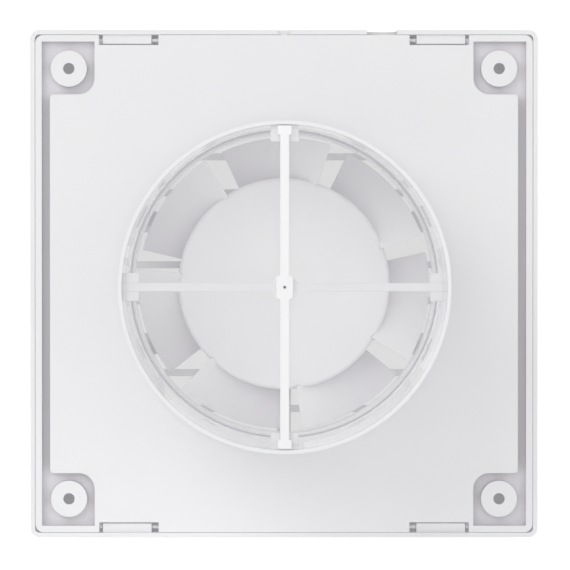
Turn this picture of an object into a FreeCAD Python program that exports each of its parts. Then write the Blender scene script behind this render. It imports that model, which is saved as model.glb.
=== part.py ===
import FreeCAD, Part
import math
import os
import re
import Sketcher

# A bathroom extractor fan for a 100 mm duct.
#
# Everything is drawn in the fan's own frame: z runs along the air flow, out of the room and into the
# duct, with z = 0 at the wall; x points right and y points up for someone who looks at the back of the
# fan. FAN_TO_ROOM then turns each finished piece into the room's frame, where Z is up, Y is the air
# flow and X points right for someone who stands in the room.

FAN_TO_ROOM = FreeCAD.Placement(
    FreeCAD.Vector(0, 0, 0), FreeCAD.Rotation(FreeCAD.Vector(0, 1, 1), 180)
)

SIZES = {
    # front cover
    "cover_side": 158.0,
    "cover_corner": 2.8,
    "cover_edge": 2.0,
    "skirt_wall": 1.4,
    "skirt_corner": 1.4,
    "skirt_rear": -0.5,
    "cover_front": -28.0,
    "cover_face": 2.0,
    "intake_radius": 51.5,
    "lip_radius": 56.0,
    "lip_front": -30.5,
    "lip_edge": 1.2,
    "grille_bar": 2.2,
    "grille_pitch": 11.4,
    "grille_depth": 1.8,
    "grille_spine": 1.6,
    "tongue_inner": 41.3,
    "tongue_outer": 56.5,
    "tongue_low": 74.75,
    "tongue_high": 78.0,
    "tongue_play": 0.2,
    "tongue_rear": -1.6,
    "cable_x": 30.5,
    "cable_width": 9.4,
    "cable_depth": 16.5,
    "gate_width": 16.0,
    "release_outer": 4.8,
    "release_inner": 2.8,
    "release_depth": 2.0,
    "release_past": 0.1,
    # base plate
    "plate_side": 154.9,
    "plate_corner": 2.6,
    "plate_depth": 6.0,
    "plate_floor": 2.0,
    "base_wall": 2.0,
    "base_front": -12.0,
    "channel_inner": 72.9,
    "channel_outer": 75.4,
    "channel_depth": 4.0,
    "pocket_inner": 59.0,
    "pocket_corner": 5.0,
    "pad_corner": 1.2,
    "screw_spacing": 134.0,
    "boss_radius": 5.65,
    "wall_hole": 1.75,
    "notch_inner": 39.1,
    "notch_outer": 57.6,
    "notch_low": 74.35,
    "notch_ledge": 76.4,
    "notch_floor": -3.0,
    "nib_width": 1.6,
    "nib_high": 78.0,
    "nib_root": 77.0,
    # spigot and casing
    "spigot_radius": 49.25,
    "spigot_length": 80.0,
    "rim_bore": 48.05,
    "seam_bore": 47.7,
    "casing_bore": 48.15,
    "casing_outer": 50.9,
    "casing_front": -22.0,
    "post_offset": 39.6,
    "post_radius": 4.0,
    "pilot_radius": 1.2,
    "boss_root": -1.5,
    # cross and back-draught valve
    "cross_front": 73.4,
    "cross_rear": 77.4,
    "cross_level_bar": 2.5,
    "cross_upright_bar": 2.65,
    "foot_width": 8.3,
    "foot_inner": 43.0,
    "foot_front": 74.4,
    "foot_rear": 77.3,
    "cross_reach": 48.4,
    "cross_boss": 3.8,
    "cross_boss_front": 71.4,
    "cross_pin_hole": 0.4,
    "clamp_rear": 79.4,
    "clamp_reach": 47.7,
    "clamp_block": 4.15,
    "clamp_block_inner": 45.0,
    "clamp_centre": 2.5,
    "flap_radius": 47.3,
    "flap_edge": 2.6,
    "flap_front": 77.45,
    "flap_rear": 77.7,
    # motor carrier
    "carrier_bore": 46.8,
    "sleeve_outer": 47.45,
    "sleeve_rear": 3.0,
    "carrier_outer": 48.05,
    "carrier_rear": -0.3,
    "carrier_front": -24.0,
    "carrier_flange": 51.5,
    "carrier_screw_tip": -8.0,
    "carrier_mouth": 49.2,
    "carrier_throat": -21.0,
    "carrier_disc": 24.0,
    "disc_front": -23.5,
    "disc_rear": -21.5,
    "disc_hole": 12.0,
    "arm_angle": 26.0,
    "arm_width": 5.0,
    "arm_overlap": 0.5,
    "window_half": 12.8,
    "window_low": -29.6,
    "window_high": -11.0,
    "lug_radius": 5.2,
    "lug_hole": 1.7,
    "mount_x": 16.5,
    "mount_post": 3.2,
    "mount_hole": 1.6,
    "mount_screw_tip": -7.0,
    "damper_front": -19.2,
    # impeller
    "hub_radius": 33.0,
    "hub_front": -20.3,
    "hub_shoulder": -3.6,
    "hub_apex": 4.5,
    "hub_edge": 2.0,
    "hub_wall": 1.8,
    "hub_inner_shoulder": -5.76,
    "hub_boss": 4.5,
    "hub_boss_front": -3.0,
    "shaft_socket": 1.5,
    "socket_end": 1.5,
    "tip_radius": 45.6,
    "blade_half_angle": 22.0,
    "blade_root_plane": 29.0,
    "blade_tip_plane": 46.5,
    "blade_front": -17.5,
    "blade_rear": -2.0,
    "blade_thick": 1.5,
    "blade_camber": 70.0,
    "blade_turn": -9.6,
    # motor
    "shaft_radius": 1.5,
    "shaft_front": -23.2,
    "shaft_rear": 1.2,
    "stack_front": -17.0,
    "stack_rear": -9.0,
    "stack_half": 20.0,
    "stack_top": 15.0,
    "stack_waist": -12.0,
    "stack_bottom": -22.0,
    "yoke_top": -16.0,
    "leg_inner": 12.0,
    "rotor_bore": 10.0,
    "rotor_radius": 9.6,
    "ring_radius": 9.3,
    "ring_bore": 5.0,
    "ring_thick": 1.2,
    "washer_radius": 3.2,
    "washer_thick": 0.5,
    "pole_gap": 1.5,
    "pole_gap_top": 13.5,
    "pole_gap_bottom": -11.2,
    "shade_inner": 11.0,
    "shade_outer": 12.2,
    "shade_low": 5.5,
    "shade_high": 12.0,
    "shade_bar": 1.0,
    "shade_play": 0.1,
    "bobbin_half": 11.8,
    "bobbin_flange": 1.2,
    "bobbin_wall": 0.7,
    "bobbin_gap": 0.2,
    "bobbin_low": -27.6,
    "bobbin_high": -12.3,
    "bobbin_front": -20.6,
    "bobbin_rear": -5.6,
    "winding_inset": 0.6,
    "winding_gap": 0.05,
    "fuse_radius": 1.3,
    "fuse_half": 4.5,
    "bracket_thick": 1.2,
    "bracket_rise": 3.0,
    "bracket_half": 19.8,
    "bracket_foot": 13.2,
    "bracket_top": 9.5,
    "bracket_width": 9.0,
    "bush_radius": 3.2,
    "bush_bore": 1.53,
    "bush_length": 3.6,
    "bush_play": 0.1,
    "retainer_radius": 5.5,
    "retainer_thick": 0.6,
    "clip_low": -2.6,
    "clip_high": -1.2,
    "clip_band": 0.7,
    "clip_gap": 1.6,
    # wiring
    "block_left": 19.5,
    "block_right": 44.5,
    "block_low": 57.0,
    "block_high": 67.0,
    "block_front": -14.0,
    "block_rear": -2.2,
    "pole_pitch": 8.0,
    "wire_hole": 1.4,
    "wire_level": -6.5,
    "well_radius": 1.9,
    "well_floor": -9.4,
    "screw_rest": -6.7,
    "lid_margin": 3.0,
    "lid_front": -18.0,
    "lid_wall": 1.5,
    "lid_lug": 4.0,
    "cable_gate": 8.0,
    "lead_gate": 5.0,
    "lid_gate_depth": 3.0,
    "lead_gate_depth": 2.0,
    "small_screw_tip": -3.0,
    "lug_x": 52.5,
    "lug_y": 62.0,
    "lid_post_front": -8.0,
    "lid_post_radius": 3.4,
    "clamp_y": 72.9,
    "clamp_depth": 4.0,
    "clamp_span": 14.0,
    "clamp_length": 19.0,
    "clamp_post_front": -9.0,
    "clamp_post_radius": 1.9,
    "clamp_hole": 1.4,
    "clamp_thick": 2.5,
    "lead_radius": 0.6,
    "lead_plane": -25.0,
    "lead_turn": 2.0,
    "lead_drop": 48.5,
    # self-tapping screws
    "screw_head": 2.9,
    "screw_head_thick": 1.5,
    "screw_shank": 1.15,
    "slot_length": 3.4,
    "slot_width": 0.7,
    "mount_head": 2.755,
    "pole_head": 1.8,
    "clamp_head": 1.885,
    # how far one solid runs into another it joins, and a cutter past the solid it cuts
    "join_depth": 0.5,
    "cut_past": 1.0,
}

BLADE_COUNT = 7
# nearness at which two places count as the same
TOUCH = 0.01
# how a sketch's constraints name its axes and the points of a line, an arc or a circle
START, END, CENTRE = 1, 2, 3
LEVEL_AXIS, UPRIGHT_AXIS = -1, -2
GRILLE_STEPS = [number + 0.5 for number in range(-4, 4)]

doc = FreeCAD.newDocument("extractor_fan")
sheet = doc.addObject("Spreadsheet::Sheet", "Sizes")
for row, (size_name, value) in enumerate(SIZES.items(), start=1):
    sheet.set(f"A{row}", size_name)
    sheet.set(f"B{row}", str(value))
    sheet.setAlias(f"B{row}", size_name)
sums = doc.addObject("Spreadsheet::Sheet", "Sums")
doc.recompute()

finished = []


# ---- helpers -----------------------------------------------------------------------------------


def formula(text):
    """Write the sheet's names in text the way the document's expressions want them."""
    return re.sub(r"\b[a-z]+(_[a-z]+)+\b", r"Sizes.\g<0>", str(text))


def worth(text):
    """The number that a formula of the sheet's names comes to."""
    sums.set("A1", f"={formula(text)}")
    sums.recompute()
    return float(sums.get("A1"))


def bind(thing, **properties):
    """Bind each named property of thing to a formula of the sheet's names."""
    for name, text in properties.items():
        thing.setExpression(name, formula(text))


def finish(name, thing, turn=0):
    """Give a finished piece its name and its place in the room, turned by some degrees about z."""
    thing.Label = name
    spin = FreeCAD.Placement(FreeCAD.Vector(), FreeCAD.Rotation(FreeCAD.Vector(0, 0, 1), turn))
    thing.Placement = FAN_TO_ROOM * spin
    finished.append(thing)


# Part primitives and booleans


def block(across, upward, along):
    """A box, from a pair of formulas (low, high) for each of x, y and z."""
    box = doc.addObject("Part::Box", "Block")
    sides = ("Length", "Width", "Height")
    for axis, side, (low, high) in zip("xyz", sides, (across, upward, along)):
        bind(box, **{f"Placement.Base.{axis}": low, side: f"({high}) - ({low})"})
    return box


def rod(radius, low, high, x=0, y=0):
    """A cylinder along z, between two heights."""
    cylinder = doc.addObject("Part::Cylinder", "Rod")
    bind(cylinder, Radius=radius, Height=f"({high}) - ({low})")
    bind(cylinder, **{"Placement.Base.x": x, "Placement.Base.y": y, "Placement.Base.z": low})
    return cylinder


def side_rod(direction, radius, low, high, other, z):
    """A cylinder along x or y, between two places on that axis."""
    cylinder = doc.addObject("Part::Cylinder", "SideRod")
    cylinder.Placement.Rotation = FreeCAD.Rotation(FreeCAD.Vector(0, 0, 1), direction)
    bind(cylinder, Radius=radius, Height=f"({high}) - ({low})")
    start = {"x": low, "y": other} if direction.x else {"x": other, "y": low}
    bind(cylinder, **{f"Placement.Base.{axis}": text for axis, text in start.items()})
    bind(cylinder, **{"Placement.Base.z": z})
    return cylinder


def joined(*pieces):
    """One solid from pieces that overlap."""
    fuse = doc.addObject("Part::MultiFuse", "Joined")
    fuse.Shapes = list(pieces)
    fuse.Refine = True
    return fuse


def group(*pieces):
    """Separate solids kept together, such as a set of screws."""
    compound = doc.addObject("Part::Compound", "Group")
    compound.Links = list(pieces)
    return compound


def cut(base, *tools):
    """The base with every tool's space taken away."""
    result = doc.addObject("Part::Cut", "Cut")
    result.Base = base
    result.Tool = tools[0] if len(tools) == 1 else group(*tools)
    return result


def overlap(first, second):
    """The space that two solids share."""
    common = doc.addObject("Part::Common", "Overlap")
    common.Base = first
    common.Tool = second
    return common


def ring(radius, bore, low, high, x=0, y=0):
    """A washer or sleeve."""
    hole = rod(bore, f"({low}) - cut_past", f"({high}) + cut_past", x, y)
    return cut(rod(radius, low, high, x, y), hole)


def screw(x, y, seat, tip, head="screw_head", shank="screw_shank"):
    """A cross-slot pan-head screw along z, whose head stands on the room side of its seat."""
    top = f"({seat}) - screw_head_thick"
    body = joined(
        rod(head, top, seat, x, y),
        rod(shank, f"({seat}) - join_depth", tip, x, y),
    )
    depth = (f"({top}) - cut_past", f"({seat}) - screw_head_thick / 2")
    long_half = f"slot_length / 2 * {head} / screw_head"
    short_half = f"slot_width / 2 * {head} / screw_head"
    slots = []
    for half_x, half_y in ((long_half, short_half), (short_half, long_half)):
        across = (f"({x}) - {half_x}", f"({x}) + {half_x}")
        upward = (f"({y}) - {half_y}", f"({y}) + {half_y}")
        slots.append(block(across, upward, depth))
    return cut(body, *slots)


# PartDesign bodies


def new_body():
    return doc.addObject("PartDesign::Body", "Body")


def origin_feature(body, role):
    return next(item for item in body.Origin.OriginFeatures if item.Role == role)


def new_sketch(body, plane, height=0):
    """A sketch on one of the body's own planes, moved along that plane's normal."""
    sketch = body.newObject("Sketcher::SketchObject", "Sketch")
    sketch.AttachmentSupport = (origin_feature(body, plane), [""])
    sketch.MapMode = "FlatFace"
    bind(sketch, **{"AttachmentOffset.Base.z": height})
    return sketch


def pin_point(sketch, side, end, x, y):
    """Hold one end of a side at the place that two formulas give."""
    for kind, text in (("DistanceX", x), ("DistanceY", y)):
        number = sketch.addConstraint(
            Sketcher.Constraint(kind, LEVEL_AXIS, START, side, end, worth(text)))
        sketch.setExpression(f"Constraints[{number}]", formula(text))


def straight(sketch, start, end):
    sketch.addGeometry(Part.LineSegment(start, end), False)


def axis_arc(sketch, start, end):
    """An arc whose centre is on the sketch's upright axis."""
    gap = start.x ** 2 + start.y ** 2 - end.x ** 2 - end.y ** 2
    centre = FreeCAD.Vector(0, gap / 2 / (start.y - end.y), 0)
    outward = ((start + end) / 2 - centre).normalize()
    arc = Part.Arc(start, centre + outward * (start - centre).Length, end)
    side = sketch.addGeometry(arc, False)
    sketch.addConstraint(Sketcher.Constraint("PointOnObject", side, CENTRE, UPRIGHT_AXIS))


def hollow_arc(radius):
    """A side that draws an arc of this radius, dipping below the line between its ends."""

    def draw(sketch, start, end):
        chord = end - start
        sag = worth(radius) - math.sqrt(worth(radius) ** 2 - chord.Length ** 2 / 4)
        down = FreeCAD.Vector(chord.y, -chord.x, 0) * math.copysign(sag / chord.Length, chord.x)
        side = sketch.addGeometry(Part.Arc(start, (start + end) / 2 + down, end), False)
        number = sketch.addConstraint(Sketcher.Constraint("Radius", side, worth(radius)))
        sketch.setExpression(f"Constraints[{number}]", formula(radius))

    return draw


def add_outline(sketch, corners, arcs=None):
    """A closed outline through corners, each a pair of formulas.

    The sides are straight, apart from those that arcs, a dictionary by side number, draws its own way.
    """
    first = sketch.GeometryCount
    count = len(corners)
    points = [FreeCAD.Vector(worth(x), worth(y), 0) for x, y in corners]
    for side in range(count):
        draw = (arcs or {}).get(side, straight)
        draw(sketch, points[side], points[(side + 1) % count])

    def end_at(side, point):
        return START if sketch.getPoint(side, START).isEqual(point, TOUCH) else END

    for number, (x, y) in enumerate(corners):
        before, after = first + (number - 1) % count, first + number
        ends = [end_at(side, points[number]) for side in (before, after)]
        sketch.addConstraint(
            Sketcher.Constraint("Coincident", before, ends[0], after, ends[1]))
        pin_point(sketch, after, ends[1], x, y)


def add_circle(sketch, radius, x=0, y=0):
    centre = FreeCAD.Vector(worth(x), worth(y), 0)
    curve = Part.Circle(centre, FreeCAD.Vector(0, 0, 1), worth(radius))
    number = sketch.addGeometry(curve, False)
    constraint = sketch.addConstraint(Sketcher.Constraint("Radius", number, worth(radius)))
    sketch.setExpression(f"Constraints[{constraint}]", formula(radius))
    pin_point(sketch, number, CENTRE, x, y)


def rectangle(x_low, x_high, y_low, y_high):
    return [(x_low, y_low), (x_high, y_low), (x_high, y_high), (x_low, y_high)]


def square(side):
    return rectangle(f"-({side}) / 2", f"({side}) / 2", f"-({side}) / 2", f"({side}) / 2")


def extrude(body, kind, low, high, outlines=(), circles=()):
    """A Pad or Pocket between two heights, from a sketch of outlines and circles."""
    sketch = new_sketch(body, "XY_Plane", low if kind == "Pad" else high)
    for corners in outlines:
        add_outline(sketch, corners)
    for circle in circles:
        add_circle(sketch, *circle)
    feature = body.newObject(f"PartDesign::{kind}", kind)
    feature.Profile = sketch
    bind(feature, Length=f"({high}) - ({low})")
    body.Tip = feature
    return feature


def turned(body, kind, corners, arcs=None):
    """A Revolution or Groove about z, from corners given as (radius, height)."""
    sketch = new_sketch(body, "XZ_Plane")
    add_outline(sketch, corners, arcs)
    feature = body.newObject(f"PartDesign::{kind}", kind)
    feature.Profile = sketch
    feature.ReferenceAxis = (sketch, ["V_Axis"])
    feature.Angle = 360
    body.Tip = feature
    return feature


def round_edges(body, radius, wanted):
    """Fillet the edges of the body for which wanted(edge) is true."""
    doc.recompute()
    base = body.Tip
    names = [f"Edge{number}" for number, edge in enumerate(base.Shape.Edges, start=1) if wanted(edge)]
    fillet = body.newObject("PartDesign::Fillet", "Fillet")
    fillet.Base = (base, names)
    bind(fillet, Radius=radius)
    body.Tip = fillet


def upright_edge(*places):
    """True for an edge along z that stands at one of the places (|x|, |y|)."""

    def test(edge):
        box = edge.BoundBox
        upright = box.XLength < TOUCH and box.YLength < TOUCH
        return upright and any(
            abs(abs(box.XMin) - x) < TOUCH and abs(abs(box.YMin) - y) < TOUCH for x, y in places)

    return test


def level_rim(radius, height):
    """True for a circular edge of this radius about the axis at this height."""

    def test(edge):
        box = edge.BoundBox
        flat = box.ZLength < TOUCH and abs(box.ZMin - height) < TOUCH
        return flat and abs(box.XLength - 2 * radius) < TOUCH

    return test


def outer_edge(half, height):
    """True for an edge of a square's outline, of this half side, at this height."""

    def test(edge):
        box = edge.BoundBox
        flat = box.ZLength < TOUCH and abs(box.ZMin - height) < TOUCH
        reach = max(abs(box.XMin), abs(box.XMax), abs(box.YMin), abs(box.YMax))
        return flat and abs(reach - half) < TOUCH

    return test


SIDES = (-1, 1)
CORNERS = [(x, y) for x in SIDES for y in SIDES]


# ---- housing -----------------------------------------------------------------------------------


def corner_circles(offset, radius):
    """One circle in each quarter, as (radius, x, y) formulas."""
    return [(radius, f"{x} * {offset}", f"{y} * {offset}") for x, y in CORNERS]


def mirrored(side, near, far):
    """The span from near to far on the positive side of an axis, or its mirror image."""
    return (near, far) if side > 0 else (f"-({far})", f"-({near})")


def in_each_corner(across, upward):
    """One rectangle in each quarter, from two (near, far) spans."""
    return [rectangle(*mirrored(x, *across), *mirrored(y, *upward)) for x, y in CORNERS]


def rear_housing():
    body = new_body()
    extrude(body, "Pad", "-plate_depth", 0, [square("plate_side")],
            [("(casing_bore + spigot_radius) / 2",)])
    extrude(body, "Pad", "base_front", "-plate_depth",
            [square("plate_side"), square("plate_side - 2 * base_wall")])
    plate_half = worth("plate_side / 2")
    round_edges(body, "plate_corner", upright_edge((plate_half, plate_half)))

    # the hollow front leaves a floor, and ribs round the rear channels and pockets
    rib = "channel_inner - base_wall"
    wall = "plate_side / 2 - base_wall"
    step = "pocket_inner - base_wall"
    cross = [
        (rib, f"-({step})"), (rib, step), (step, step), (step, wall),
        (f"-({step})", wall), (f"-({step})", step), (f"-({rib})", step), (f"-({rib})", f"-({step})"),
        (f"-({step})", f"-({step})"), (f"-({step})", f"-({wall})"), (step, f"-({wall})"),
        (step, f"-({step})"),
    ]
    extrude(body, "Pocket", "-plate_depth", "-plate_floor", [cross])

    # each side channel runs between two corner pockets, round the screw bosses
    channels = []
    for side in SIDES:
        corners = [
            ("pocket_inner", "channel_outer"), ("pocket_inner", "pocket_inner"),
            ("channel_inner", "pocket_inner"), ("channel_inner", "-pocket_inner"),
            ("pocket_inner", "-pocket_inner"), ("pocket_inner", "-channel_outer"),
            ("channel_outer", "-channel_outer"), ("channel_outer", "channel_outer"),
        ]
        placed = [(f"{side} * {x}", y) for x, y in corners]
        channels.append(placed if side > 0 else placed[::-1])
    extrude(body, "Pocket", "-channel_depth", 0, channels,
            corner_circles("screw_spacing / 2", "boss_radius"))
    pocket, channel = worth("pocket_inner"), worth("channel_inner")
    round_edges(body, "pocket_corner", upright_edge((pocket, pocket)))
    round_edges(body, "pad_corner", upright_edge((channel, pocket)))
    extrude(body, "Pocket", "-plate_depth", 0, [], corner_circles("screw_spacing / 2", "wall_hole"))

    # notches for the cover's tongues, and the way in for the cable
    beyond = "plate_side / 2 + cut_past"
    notch = ("notch_inner", "notch_outer")
    passage = ("tongue_inner - tongue_play", "tongue_outer + tongue_play")
    extrude(body, "Pocket", "notch_floor", 0, in_each_corner(notch, ("notch_low", beyond)))
    extrude(body, "Pocket", "base_front", "notch_floor",
            in_each_corner(passage, ("notch_low", beyond)))
    extrude(body, "Pocket", "base_front", "notch_floor",
            in_each_corner(notch, ("notch_ledge", beyond)))
    gate = rectangle("cable_x - gate_width / 2", "cable_x + gate_width / 2",
                     "plate_side / 2 - base_wall - cut_past", beyond)
    extrude(body, "Pocket", "base_front", "-plate_floor - cut_past", [gate])
    nib = rectangle("-nib_width / 2", "nib_width / 2", "nib_root", "nib_high")
    extrude(body, "Pad", "-plate_floor", 0, [nib])

    # the casing in front of the wall and the spigot behind it
    turned(body, "Revolution", [
        ("rim_bore", "spigot_length"), ("seam_bore", 0), ("casing_bore", 0),
        ("casing_bore", "casing_front"), ("casing_outer", "casing_front"),
        ("casing_outer", "-plate_floor"), ("spigot_radius", "-plate_floor"),
        ("spigot_radius", "spigot_length"),
    ])

    # posts with pilot holes, for the carrier, the terminal cover and the cable clamp
    clamp_posts = [f"cable_x + {side} * clamp_span / 2" for side in SIDES]
    posts = [
        ("casing_front", corner_circles("post_offset", "post_radius")),
        ("lid_post_front", [("lid_post_radius", "lug_x", "lug_y")]),
        ("clamp_post_front", [("clamp_post_radius", x, "clamp_y") for x in clamp_posts]),
    ]
    for front, circles in posts:
        extrude(body, "Pad", front, "boss_root", [], circles)
        pilots = [("pilot_radius", x, y) for _, x, y in circles]
        extrude(body, "Pocket", front, "-plate_floor", [], pilots)

    # the cross that the flaps rest on, with a foot at the end of each arm
    reach = ("-cross_reach", "cross_reach")
    level_bar = rectangle(*reach, "-cross_level_bar / 2", "cross_level_bar / 2")
    upright_bar = rectangle("-cross_upright_bar / 2", "cross_upright_bar / 2", *reach)
    for bar in (level_bar, upright_bar):
        extrude(body, "Pad", "cross_front", "cross_rear", [bar])
    foot = ("-foot_width / 2", "foot_width / 2")
    ends = [mirrored(side, "foot_inner", "cross_reach") for side in SIDES]
    feet = [rectangle(*end, *foot) for end in ends] + [rectangle(*foot, *end) for end in ends]
    extrude(body, "Pad", "foot_front", "foot_rear", feet)
    extrude(body, "Pad", "cross_boss_front", "cross_rear", [], [("cross_boss",)])
    extrude(body, "Pocket", "cross_boss_front + join_depth", "cross_rear", [], [("cross_pin_hole",)])
    finish("rear_housing", body)


def valve_clamp_bar():
    bar_half = "cross_upright_bar / 2"
    along = ("cross_rear", "clamp_rear")
    strip = block((f"-{bar_half}", bar_half), ("-clamp_reach", "clamp_reach"), along)
    block_half = ("-clamp_block / 2", "clamp_block / 2")
    ends = [block(block_half, mirrored(side, "clamp_block_inner", "clamp_reach"), along)
            for side in SIDES]
    centre = overlap(rod("cross_boss", *along),
                     block(("-clamp_centre", "clamp_centre"), ("-cross_boss", "cross_boss"), along))
    pin_hole = rod("cross_pin_hole", "cross_rear - cut_past", "clamp_rear + cut_past")
    finish("valve_clamp_bar", cut(joined(strip, centre, *ends), pin_hole))


def flap(name, side):
    disc = rod("flap_radius", "flap_front", "flap_rear")
    half = block(mirrored(side, "flap_edge", "flap_radius + cut_past"),
                 ("-flap_radius - cut_past", "flap_radius + cut_past"),
                 ("flap_front - cut_past", "flap_rear + cut_past"))
    finish(name, overlap(disc, half))


# ---- motor carrier -----------------------------------------------------------------------------


def motor_carrier():
    body = new_body()
    turned(body, "Revolution", [
        ("carrier_bore", "sleeve_rear"), ("carrier_bore", "carrier_throat"),
        ("carrier_mouth", "carrier_front"), ("carrier_flange", "carrier_front"),
        ("carrier_flange", "casing_front"), ("carrier_outer", "casing_front"),
        ("carrier_outer", "carrier_rear"), ("sleeve_outer", "carrier_rear"),
        ("sleeve_outer", "sleeve_rear"),
    ])
    for side in SIDES:
        corners = []
        for along, across in ((-1, -1), (1, -1), (1, 1), (-1, 1)):
            reach = f"{along} * (carrier_bore + arm_overlap)"
            half = f"{across} * arm_width / 2"
            corners.append((
                f"{reach} * cos(arm_angle) - {side} * {half} * sin(arm_angle)",
                f"{side} * {reach} * sin(arm_angle) + {half} * cos(arm_angle)",
            ))
        extrude(body, "Pad", "carrier_front", "disc_rear", [corners])
    extrude(body, "Pad", "disc_front", "disc_rear", [], [("carrier_disc",)])
    extrude(body, "Pad", "carrier_front", "casing_front", [],
            corner_circles("post_offset", "lug_radius"))
    mounts = [f"{side} * mount_x" for side in SIDES]
    extrude(body, "Pad", "disc_rear", "damper_front", [], [("mount_post", x, 0) for x in mounts])
    window = rectangle("-window_half", "window_half", "window_low", "window_high")
    extrude(body, "Pocket", "carrier_front", "disc_rear", [window], [("disc_hole",)])
    extrude(body, "Pocket", "carrier_front", "damper_front", [], [("mount_hole", x, 0) for x in mounts])
    extrude(body, "Pocket", "carrier_front", "casing_front", [],
            corner_circles("post_offset", "lug_hole"))
    finish("motor_carrier", body)


def carrier_screws():
    finish("carrier_screws", group(*[
        screw(f"{x} * post_offset", f"{y} * post_offset", "carrier_front", "carrier_screw_tip")
        for x, y in CORNERS]))


# ---- motor -------------------------------------------------------------------------------------


def stator_laminations():
    along = ("stack_front", "stack_rear")
    beyond = ("stack_front - cut_past", "stack_rear + cut_past")
    head = block(("-stack_half", "stack_half"), ("stack_waist", "stack_top"), along)
    legs = [block(mirrored(side, "leg_inner", "stack_half"), ("stack_bottom", "stack_waist"), along)
            for side in SIDES]
    yoke = block(("-leg_inner", "leg_inner"), ("stack_bottom", "yoke_top"), along)
    cuts = [rod("rotor_bore", *beyond)]
    cuts += [rod("mount_hole", *beyond, f"{side} * mount_x") for side in SIDES]
    # gaps between the poles, and a slot for each bar of the shading rings
    gap = ("-pole_gap / 2", "pole_gap / 2")
    cuts.append(block(gap, ("rotor_bore - cut_past", "pole_gap_top"), beyond))
    cuts.append(block(gap, ("pole_gap_bottom", "cut_past - rotor_bore"), beyond))
    for side in SIDES:
        across = mirrored(side, "shade_inner - shade_play", "shade_outer + shade_play")
        for low in ("shade_low", "shade_high - shade_bar"):
            upward = mirrored(side, f"{low} - shade_play", f"{low} + shade_bar + shade_play")
            cuts.append(block(across, upward, beyond))
    finish("stator_laminations", cut(joined(head, yoke, *legs), *cuts))


def shading_rings():
    rings = []
    for side in SIDES:
        outer = block(mirrored(side, "shade_inner", "shade_outer"),
                      mirrored(side, "shade_low", "shade_high"),
                      ("stack_front - shade_bar", "stack_rear + shade_bar"))
        inner = block(mirrored(side, "shade_inner - cut_past", "shade_outer + cut_past"),
                      mirrored(side, "shade_low + shade_bar", "shade_high - shade_bar"),
                      ("stack_front - shade_play", "stack_rear + shade_play"))
        rings.append(cut(outer, inner))
    finish("shading_rings", group(*rings))


def around_yoke(across, gap):
    """A block round the yoke, standing a gap clear of it on every side."""
    return block(across, (f"stack_bottom - ({gap})", f"yoke_top + ({gap})"),
                 (f"stack_front - ({gap})", f"stack_rear + ({gap})"))


def coil_bobbin():
    core = around_yoke(("-bobbin_half", "bobbin_half"), "bobbin_gap + bobbin_wall")
    flanges = [
        block(mirrored(side, "bobbin_half - bobbin_flange", "bobbin_half"),
              ("bobbin_low", "bobbin_high"), ("bobbin_front", "bobbin_rear"))
        for side in SIDES]
    tunnel = around_yoke(("-bobbin_half - cut_past", "bobbin_half + cut_past"), "bobbin_gap")
    finish("coil_bobbin", cut(joined(core, *flanges), tunnel))


def coil_winding():
    reach = "(bobbin_half - bobbin_flange - winding_gap)"
    outer = block((f"-{reach}", reach),
                  ("bobbin_low + winding_inset", "bobbin_high - winding_inset"),
                  ("bobbin_front + winding_inset", "bobbin_rear - winding_inset"))
    tunnel = around_yoke(("-bobbin_half", "bobbin_half"), "bobbin_gap + bobbin_wall + winding_gap")
    finish("coil_winding", cut(outer, tunnel))


def thermal_fuse():
    level = "bobbin_front + winding_inset - fuse_radius - winding_gap"
    fuse = side_rod(FreeCAD.Vector(1, 0, 0), "fuse_radius", "-fuse_half", "fuse_half",
                    "(stack_bottom + yoke_top) / 2", level)
    finish("thermal_fuse", group(fuse))


def bearing_bracket(name, face, side):
    """A pressed strap that bridges the rotor and holds a bush; side is +1 towards the duct."""
    body = new_body()
    sketch = new_sketch(body, "XZ_Plane", "-bracket_width / 2")
    under = [("bracket_half", 0), ("bracket_foot", 0), ("bracket_top", "bracket_rise")]
    over = [(x, f"{z} + bracket_thick") for x, z in under]
    loop = over + [(f"-{x}", z) for x, z in over[::-1] + under] + under[::-1]
    corners = [(x, f"{face} + {side} * ({z})") for x, z in loop]
    add_outline(sketch, corners)
    strap = body.newObject("PartDesign::Pad", "Pad")
    strap.Profile = sketch
    bind(strap, Length="bracket_width")
    body.Tip = strap
    depth = "(bracket_rise + bracket_thick + cut_past)"
    extrude(body, "Pocket", f"{face} - {depth}", f"{face} + {depth}", [],
            [("bush_radius",)] + [("mount_hole", f"{end} * mount_x", 0) for end in SIDES])
    finish(name, body)


FRONT_STRAP = "(stack_front - bracket_rise - bracket_thick)"
REAR_STRAP = "(stack_rear + bracket_rise + bracket_thick)"
FRONT_BUSH = "(stack_front - ring_thick - washer_thick - bush_play)"
REAR_BUSH = "(stack_rear + ring_thick + washer_thick + bush_play)"


def bearings():
    finish("front_bush", ring("bush_radius", "bush_bore", f"{FRONT_BUSH} - bush_length", FRONT_BUSH))
    finish("rear_bush", ring("bush_radius", "bush_bore", REAR_BUSH, f"{REAR_BUSH} + bush_length"))
    finish("bush_retainers", group(
        ring("retainer_radius", "bush_radius", f"{FRONT_STRAP} - retainer_thick", FRONT_STRAP),
        ring("retainer_radius", "bush_radius", REAR_STRAP, f"{REAR_STRAP} + retainer_thick")))


def motor_fixings():
    mounts = [f"{side} * mount_x" for side in SIDES]
    finish("rubber_dampers", group(*[
        ring("mount_post", "mount_hole", "damper_front", "stack_front - bracket_thick", x)
        for x in mounts]))
    finish("motor_mount_screws", group(*[
        screw(x, 0, "disc_front", "mount_screw_tip", "mount_head", "shaft_radius")
        for x in mounts]))


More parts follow.
